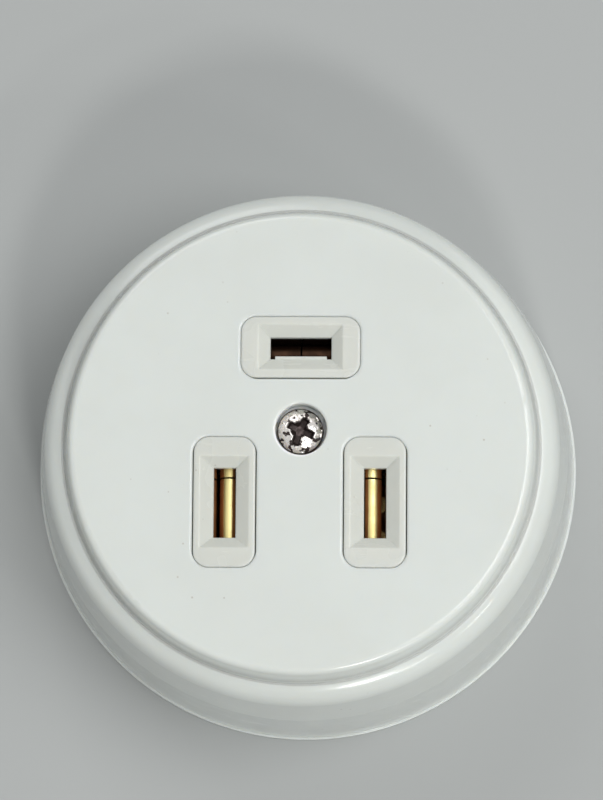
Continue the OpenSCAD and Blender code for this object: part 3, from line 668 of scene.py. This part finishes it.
@dataclass
class CoverShell:
    """The moulded cover: the CAD mesh with a softer disc edge, a shallow groove and a broad shoulder.

    Lengths are in millimetres. Each pair of rolls gives the CAD's and then the new one, and so do the heights
    of the shoulder and the groove's foot. The groove is given by its inner and outer radius.
    """

    node: str = "cover"
    edge: tuple[Roll, Roll] = (Roll((38.066, 36.70), 1.3, 90.0, 5.0), Roll((37.63, 36.80), 1.2, 90.0, 16.0))
    rim: tuple[Roll, Roll] = (Roll((40.806, 28.397), 2.7, 66.0, 8.8), Roll((39.27, 29.42), 4.10, 75.0, 8.5))
    groove: tuple[float, float] = (39.80, 40.15)
    shoulder: tuple[float, float] = (31.80, 33.50)
    groove_foot: tuple[float, float] = (31.10, 33.38)
    nearness: float = 0.05
    foot_clearance: float = 0.1
    disc_level: float = 34.0
    groove_level: float = 31.7
    groove_inside: float = 39.9
    rim_level: float = 19.0
    rim_inside: float = 39.7
    outward_length: float = 0.98
    tower_half_width: float = 5.15
    corner: float = 2.85
    gap: float = 0.25
    side_closing: float = 0.09
    closing: float = 0.22
    closing_turn: tuple[float, float] = (0.05, 0.55)
    tower_clearance: float = 0.1
    rounding: float = 0.4
    apertures: tuple[Aperture, ...] = (
        Aperture((-12.5, -10.0), 0.0, 10.9), Aperture((12.5, -10.0), 180.0, 10.9),
        Aperture((0.0, 16.0), -90.0, 9.95, True))

    def _outline(self, far: np.ndarray, height: np.ndarray) -> tuple[np.ndarray, np.ndarray]:
        """Moves points of the cover's outline.

        Args:
            far: Distances from the axis, in millimetres.
            height: Heights.

        Returns:
            The new distances and heights.
        """
        new_far, new_height = far.copy(), height.copy()
        for old, new in (self.edge, self.rim):
            on = old.holds(far, height)
            angle = new.angle_at(old.angle_share(old.angle(far, height)))
            moved = new.point(angle)
            new_far[on], new_height[on] = moved[0][on], moved[1][on]
        near = self.nearness
        by_groove = (far > self.groove[0] - near) & (far < self.groove[1] + near)
        above_foot = height > self.groove_foot[0] + self.foot_clearance
        top = by_groove & above_foot & (height < self.shoulder[0] + near)
        new_height[top] = height[top] + self.shoulder[1] - self.shoulder[0]
        foot = by_groove & (np.abs(height - self.groove_foot[0]) < near)
        new_height[foot] = self.groove_foot[1]
        return new_far, new_height

    def _close(self, x: np.ndarray, y: np.ndarray) -> tuple[np.ndarray, np.ndarray]:
        """Draws the apertures in to the towers, at their ends and corners more than at their sides.

        Args:
            x: Places across, in millimetres.
            y: Places upwards.

        Returns:
            The new places.
        """
        for hole in self.apertures:
            a = math.radians(hole.turn)
            u = (x - hole.place[0]) * math.cos(a) + (y - hole.place[1]) * math.sin(a)
            v = -(x - hole.place[0]) * math.sin(a) + (y - hole.place[1]) * math.cos(a)
            past_u = np.abs(u) - (self.tower_half_width - self.corner)
            past_v = np.abs(v) - (hole.half_length - self.corner)
            in_corner = (past_u > 0) & (past_v > 0)
            on_side = ~in_corner & (past_u > past_v)
            length = np.maximum(np.hypot(past_u, past_v), 1e-6)
            out_u = np.where(in_corner, past_u / length, on_side * 1.0)
            out_v = np.where(in_corner, past_v / length, ~on_side * 1.0)
            gap = np.where(in_corner, length, np.where(on_side, past_u, past_v)) - self.corner
            more = self.closing - self.side_closing
            amount = self.side_closing + more * smooth(out_v, *self.closing_turn)
            if hole.close_far_side:
                amount = np.where(u < 0, self.closing, amount)
            edge_reach = self.gap + self.rounding + self.nearness
            amount = amount * ((gap > self.tower_clearance) & (gap < edge_reach))
            u, v = u - np.sign(u) * out_u * amount, v - np.sign(v) * out_v * amount
            x = hole.place[0] + u * math.cos(a) - v * math.sin(a)
            y = hole.place[1] + u * math.sin(a) + v * math.cos(a)
        return x, y

    def build(self) -> bpy.types.Object:
        """Makes the shell.

        Returns:
            The object.
        """
        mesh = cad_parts[self.node].data.copy()
        mesh.name = "cover_shell"
        count, corners = len(mesh.vertices), len(mesh.loops)
        place = np.empty(count * 3, dtype=np.float32)
        mesh.vertices.foreach_get("co", place)
        place = place.reshape(-1, 3).astype(float) / MM
        normal = np.empty(corners * 3, dtype=np.float32)
        mesh.corner_normals.foreach_get("vector", normal)
        normal = normal.reshape(-1, 3).astype(float)
        owner = np.empty(corners, dtype=np.int32)
        mesh.loops.foreach_get("vertex_index", owner)
        far, height = np.hypot(place[:, 0], place[:, 1]), place[:, 2].copy()
        out = place[:, :2] / np.maximum(far, 1e-6)[:, None]
        new_far, new_height = self._outline(far, height)
        moved = np.abs(new_far - far) + np.abs(new_height - height) > 1e-4
        place[moved, :2] = out[moved] * new_far[moved, None]
        place[moved, 2] = new_height[moved]
        place[:, 0], place[:, 1] = self._close(place[:, 0], place[:, 1])
        outward = (normal[:, :2] * out[owner]).sum(1)
        lean = np.degrees(np.arctan2(normal[:, 2], outward))
        lies_out = np.hypot(outward, normal[:, 2]) > self.outward_length
        corner_far, corner_height = far[owner], height[owner]
        in_groove = (corner_height > self.groove_level) & (corner_far < self.groove_inside)
        on_disc = (corner_height > self.disc_level) | in_groove
        on_rim = (corner_height > self.rim_level) & (corner_far > self.rim_inside)
        new_lean = lean.copy()
        for (old, new), part in ((self.edge, on_disc), (self.rim, on_rim)):
            turns = part & lies_out & moved[owner] & (lean > old.foot - 1.0) & (lean < old.top + 1.0)
            new_lean[turns] = new.angle_at(old.angle_share(lean))[turns]
        changed = np.abs(new_lean - lean) > 1e-3
        turn = np.radians(new_lean)
        normal[changed, :2] = out[owner][changed] * np.cos(turn[changed])[:, None]
        normal[changed, 2] = np.sin(turn[changed])
        mesh.vertices.foreach_set("co", (place * MM).astype(np.float32).ravel())
        mesh.update()
        mesh.normals_split_custom_set(normal.tolist())
        LOG.info("cover outline: %d points moved, %d normals turned", int(moved.sum()), int(changed.sum()))
        mesh.materials.clear()
        return add_object("cover_shell", mesh)


@dataclass
class CoverScrew:
    """Pan-head screw in the middle, with a cross recess chewed by a screwdriver.

    Lengths are in millimetres. Dents, nicks, chips and smudges are each a size and a shift of their noise.
    Shade is painted dark into the cross recess and round the head's side.
    """

    middle: tuple[float, float] = (0.0, 2.0)
    seat: float = 35.0
    head_radius: float = 3.85
    head_height: float = 2.94
    side: float = 1.35
    shank_radius: float = 1.95
    tip: float = 5.0
    pitch: float = 0.7
    thread: float = 0.22
    arms: tuple[float, ...] = (56.0, 154.0, 255.0, 337.0)
    arm_length: tuple[float, ...] = (2.45, 2.35, 2.95, 2.80)
    arm_width: float = 1.2
    arm_end: float = 0.7
    pit: tuple[float, float] = (1.65, 0.55)
    cross_middle: tuple[float, float] = (-0.14, 0.20)
    depth: float = 2.0
    dents: tuple[float, float] = (0.75, 3.1)
    nicks: tuple[float, float] = (0.55, 8.3)
    chips: tuple[float, float] = (0.5, 5.7)
    smudges: tuple[float, float] = (0.9, 11.2)
    side_painted_shade: float = 0.8
    shank_darkening: float = 0.1
    around: int = 192
    head_rings: int = 52

    def _top(self, x: np.ndarray, y: np.ndarray) -> tuple[np.ndarray, np.ndarray]:
        """Height and depth of the recess over the head.

        Args:
            x: Places across, in millimetres from the screw's axis.
            y: Places upwards.

        Returns:
            Height above the seat and share of the recess's depth.
        """
        crown_rise = self.head_height - self.side
        crown = (self.head_radius ** 2 + crown_rise ** 2) / (2 * crown_rise)
        far = np.hypot(x, y)
        height = self.head_height - crown + np.sqrt(crown ** 2 - far ** 2)
        x, y = x - self.cross_middle[0], y - self.cross_middle[1]
        recess = smooth(np.hypot(x, y), *self.pit)
        for angle, length in zip(self.arms, self.arm_length):
            a = math.radians(angle)
            along = x * math.cos(a) + y * math.sin(a)
            across = np.abs(-x * math.sin(a) + y * math.cos(a))
            wing = smooth(across, self.arm_width * 0.62, self.arm_width * 0.34)
            run = smooth(along, length, length - self.arm_end) * (along > 0)
            recess = np.maximum(recess, wing * run * np.clip(1.15 - along / (length * 1.5), 0, 1))
        return height - self.depth * recess, recess

    def _rings(self) -> tuple[np.ndarray, np.ndarray]:
        """The screw's form before wear, from the middle of its head to its tip.

        Returns:
            Rings of points in millimetres above the seat, and how dark each point is painted: shade in the
            cross and round the head's side, a faint darkening on the shank.
        """
        turn = np.linspace(0, 2 * math.pi, self.around, endpoint=False)
        rings: list[np.ndarray] = []
        darkening: list[np.ndarray] = []

        def add(radius: np.ndarray | float, height: np.ndarray | float, shade_and_smudge: np.ndarray | float) -> None:
            """Adds one ring."""
            level = np.broadcast_to(height, turn.shape)
            rings.append(np.stack([radius * np.cos(turn), radius * np.sin(turn), level], 1))
            darkening.append(np.broadcast_to(shade_and_smudge, turn.shape))

        for share in np.linspace(0, 1, self.head_rings):
            far = self.head_radius * 0.985 * share ** 0.9
            height, recess = self._top(far * np.cos(turn), far * np.sin(turn))
            # Painted shade: dark round the head's side and inside the cross, a little lighter at the cross's
            # deepest middle.
            rim = self.side_painted_shade * smooth(share, 0.94, 1.0)
            inside = smooth(recess, 0.12, 0.5) * (0.78 + 0.22 * smooth(recess, 0.90, 1.0))
            add(far, height, np.maximum(inside, rim))
        edge = rings[-1][0, 2]
        profile = [(self.head_radius, edge - 0.12), (self.head_radius, edge - 0.5), (self.head_radius, 0.12),
                   (self.head_radius - 0.12, 0.0), (self.shank_radius + 0.1, 0.0), (self.shank_radius, -0.1)]
        for radius, height in profile:
            add(radius, height, self.side_painted_shade)
        length = self.seat - self.tip
        for depth in np.arange(0.3, length - 0.25, self.pitch / 6):
            phase = (depth / self.pitch + turn / (2 * math.pi)) % 1.0
            ridge = np.abs(phase * 2 - 1) * smooth(depth, 0.5, 2.0)
            radius = self.shank_radius - self.thread * ridge
            add(radius * (1 - 0.25 * smooth(depth, length - 1.5, length)), -depth, self.shank_darkening)
        for radius in (self.shank_radius * 0.6, 0.0):
            add(radius, -length, self.shank_darkening)
        return np.array(rings), np.array(darkening)

    def build(self) -> bpy.types.Object:
        """Makes the screw.

        Returns:
            The object.
        """
        body, shade_and_smudge = self._rings()
        flat = body.reshape(-1, 3)
        on_head = smooth(flat[:, 2], 0.6, 1.2)
        dents = np.minimum(rough_field(flat, *self.dents), 0.35)
        near_edge = smooth(np.hypot(flat[:, 0], flat[:, 1]), self.head_radius * 0.8, self.head_radius)
        nicks = smooth(rough_field(flat, *self.nicks), 0.25, 0.6) * near_edge
        flat[:, 2] += on_head * (0.10 * dents - 0.04 - 0.22 * nicks)
        chips = smooth(rough_field(flat, *self.chips), 0.18, 0.42) * on_head
        smudges = 0.85 * smooth(rough_field(flat, *self.smudges), 0.22, 0.5) * on_head
        # The painted shade and the real smudges share one attribute.
        shade_and_smudge = np.maximum(shade_and_smudge.ravel(), smudges)
        flat += np.array([*self.middle, self.seat])
        around = body.shape[:2]
        attributes = {"darkening": shade_and_smudge.reshape(around), "chip": (chips * (1 - shade_and_smudge)).reshape(around)}
        return ring_mesh("screw_cover_worn", flat.reshape(body.shape) * MM, attributes)


# Stage

WINDOW_LIGHT: Colour = (1.0, 0.99, 0.97)


@dataclass(frozen=True)
class Softbox:
    """A rectangular area light that looks at the socket."""

    name: str
    azimuth: float
    elevation: float
    distance: float
    size: tuple[float, float]
    power: float
    colour: Colour = (1.0, 1.0, 1.0)

    def build(self, target: Vector) -> None:
        """Places the light.

        Args:
            target: Where it looks.
        """
        lamp = bpy.data.lights.new(self.name, "AREA")
        lamp.shape = "RECTANGLE"
        lamp.size, lamp.size_y = self.size
        lamp.energy = self.power
        lamp.color = self.colour
        thing = add_object(self.name, lamp)
        away = direction(self.azimuth, self.elevation)
        thing.location = target + away * self.distance
        thing.rotation_euler = away.to_track_quat("Z", "Y").to_euler()


def direction(azimuth: float, elevation: float) -> Vector:
    """Unit vector towards an azimuth, from +X towards +Y, and an elevation, both in degrees."""
    a, e = math.radians(azimuth), math.radians(elevation)
    return Vector((math.cos(e) * math.cos(a), math.cos(e) * math.sin(a), math.sin(e)))


@dataclass
class Stage:
    """Camera, floor, lights and background."""

    aim: Point = (0.21 * MM, 7.06 * MM, 38.0 * MM)
    distance: float = 698.4 * MM
    azimuth: float = -90.0 + 13.68
    elevation: float = 81.10
    roll: float = 0.44
    lens: float = 189.0
    sensor_width: float = 36.0
    nearest: float = 0.01
    floor_reach: float = 3.0
    floor_height: float = -0.05 * MM
    light_aim: Point = (0.0, 0.0, 30 * MM)
    light_colour: Colour = (0.97, 0.985, 1.0)
    light_strength: float = 0.27
    background: Colour = (0.80, 0.81, 0.81)
    boxes: tuple[Softbox, ...] = (
        Softbox("ceiling_right", 2.0, 64.0, 1.6, (1.0, 1.0), 13.0),
        Softbox("window_low", -74.0, 45.0, 1.3, (0.18, 0.14), 3.9, WINDOW_LIGHT),
        Softbox("window_middle", -61.0, 38.0, 1.3, (0.16, 0.04), 0.8, WINDOW_LIGHT),
        Softbox("window_side", -38.0, 38.0, 1.3, (0.16, 0.04), 0.8, WINDOW_LIGHT),
        Softbox("ceiling_left", 112.0, 38.0, 1.7, (1.0, 1.0), 7.4),
    )

    def place_camera(self) -> None:
        """Makes the camera at the photograph's viewing angle."""
        data = bpy.data.cameras.new("camera")
        data.lens = self.lens
        data.sensor_width = self.sensor_width
        data.clip_start = self.nearest
        thing = add_object("camera", data)
        away = direction(self.azimuth, self.elevation)
        up = (Vector((0, 1, 0)) - away * away.y).normalized()
        side = up.cross(away)
        axes = Matrix((side, up, away)).transposed().to_4x4()
        thing.matrix_world = (Matrix.Translation(Vector(self.aim) + away * self.distance)
                              @ axes @ Matrix.Rotation(math.radians(self.roll), 4, "Z"))
        bpy.context.scene.camera = thing

    def lay_floor(self) -> None:
        """Makes the floor just under the socket's back."""
        reach = self.floor_reach
        corners = [(-reach, -reach, 0), (reach, -reach, 0), (reach, reach, 0), (-reach, reach, 0)]
        mesh = bpy.data.meshes.new("floor")
        mesh.from_pydata(corners, [], [(0, 1, 2, 3)])
        mesh.materials.append(Backdrop().build())
        thing = add_object("floor", mesh)
        thing.location.z = self.floor_height

    def light_world(self) -> None:
        """Gives the world its even light and its pale background."""
        world = bpy.data.worlds.new("studio")
        world.use_nodes = True
        tree = world.node_tree
        tree.nodes.clear()
        light = tree.nodes.new("ShaderNodeBackground")
        light.inputs[0].default_value = (*self.light_colour, 1.0)
        light.inputs[1].default_value = self.light_strength
        pale = tree.nodes.new("ShaderNodeBackground")
        pale.inputs[0].default_value = (*self.background, 1.0)
        path = tree.nodes.new("ShaderNodeLightPath")
        seen = tree.nodes.new("ShaderNodeMath")
        seen.operation = "MAXIMUM"
        through = tree.nodes.new("ShaderNodeMath")
        through.operation = "MAXIMUM"
        tree.links.new(path.outputs["Is Glossy Ray"], through.inputs[0])
        tree.links.new(path.outputs["Is Transmission Ray"], through.inputs[1])
        tree.links.new(path.outputs["Is Camera Ray"], seen.inputs[0])
        tree.links.new(through.outputs[0], seen.inputs[1])
        mix = tree.nodes.new("ShaderNodeMixShader")
        out = tree.nodes.new("ShaderNodeOutputWorld")
        tree.links.new(seen.outputs[0], mix.inputs[0])
        tree.links.new(light.outputs[0], mix.inputs[1])
        tree.links.new(pale.outputs[0], mix.inputs[2])
        tree.links.new(mix.outputs[0], out.inputs[0])
        bpy.context.scene.world = world

    def build(self) -> None:
        """Sets the whole stage."""
        self.place_camera()
        self.lay_floor()
        self.light_world()
        for box in self.boxes:
            box.build(Vector(self.light_aim))
        bpy.context.scene.view_settings.view_transform = "Standard"


# The socket


@dataclass
class Socket:
    """The whole socket: the CAD nodes in their finishes and the pieces that replace some of them."""

    screw: CoverScrew = field(default_factory=CoverScrew)
    shell: CoverShell = field(default_factory=CoverShell)

    def dress_nodes(self) -> dict[str, bpy.types.Material]:
        """Gives each CAD node the finish of its slot.

        Returns:
            The materials, by slot.
        """
        finishes = {slot.value: finish.build() for slot, finish in FINISHES.items()}
        contacts = {name: finish.build() for name, finish in CONTACT_FINISHES.items()}
        for name, node in sorted(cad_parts.items()):
            slot = node.data.materials[0].name.split(".")[0]
            node.data.materials[0] = contacts.get(name, finishes[slot])
            LOG.info("%s: %s", name, slot)
        return finishes

    def fit(self, piece: bpy.types.Object, material: bpy.types.Material,
            nodes: Sequence[str]) -> None:
        """Puts a finished piece in place of its CAD nodes.

        Args:
            piece: The piece.
            material: Its material.
            nodes: The CAD nodes that it stands for.
        """
        piece.data.materials.append(material)
        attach(piece, "root")
        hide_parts(*nodes)
        LOG.info("%s replaces %s", piece.name, ", ".join(nodes))

    def build(self) -> None:
        """Dresses the nodes and adds the pieces."""
        materials = self.dress_nodes()
        self.fit(self.shell.build(), materials[Slot.COVER.value], [self.shell.node])
        self.fit(self.screw.build(), SCREW_FINISH.build(), ["cover_screw"])


def main() -> None:
    """Builds the stage and the socket."""
    logging.basicConfig(level=logging.INFO, format="%(name)s: %(message)s")
    Stage().build()
    Socket().build()


if __name__ == "__main__":
    main()
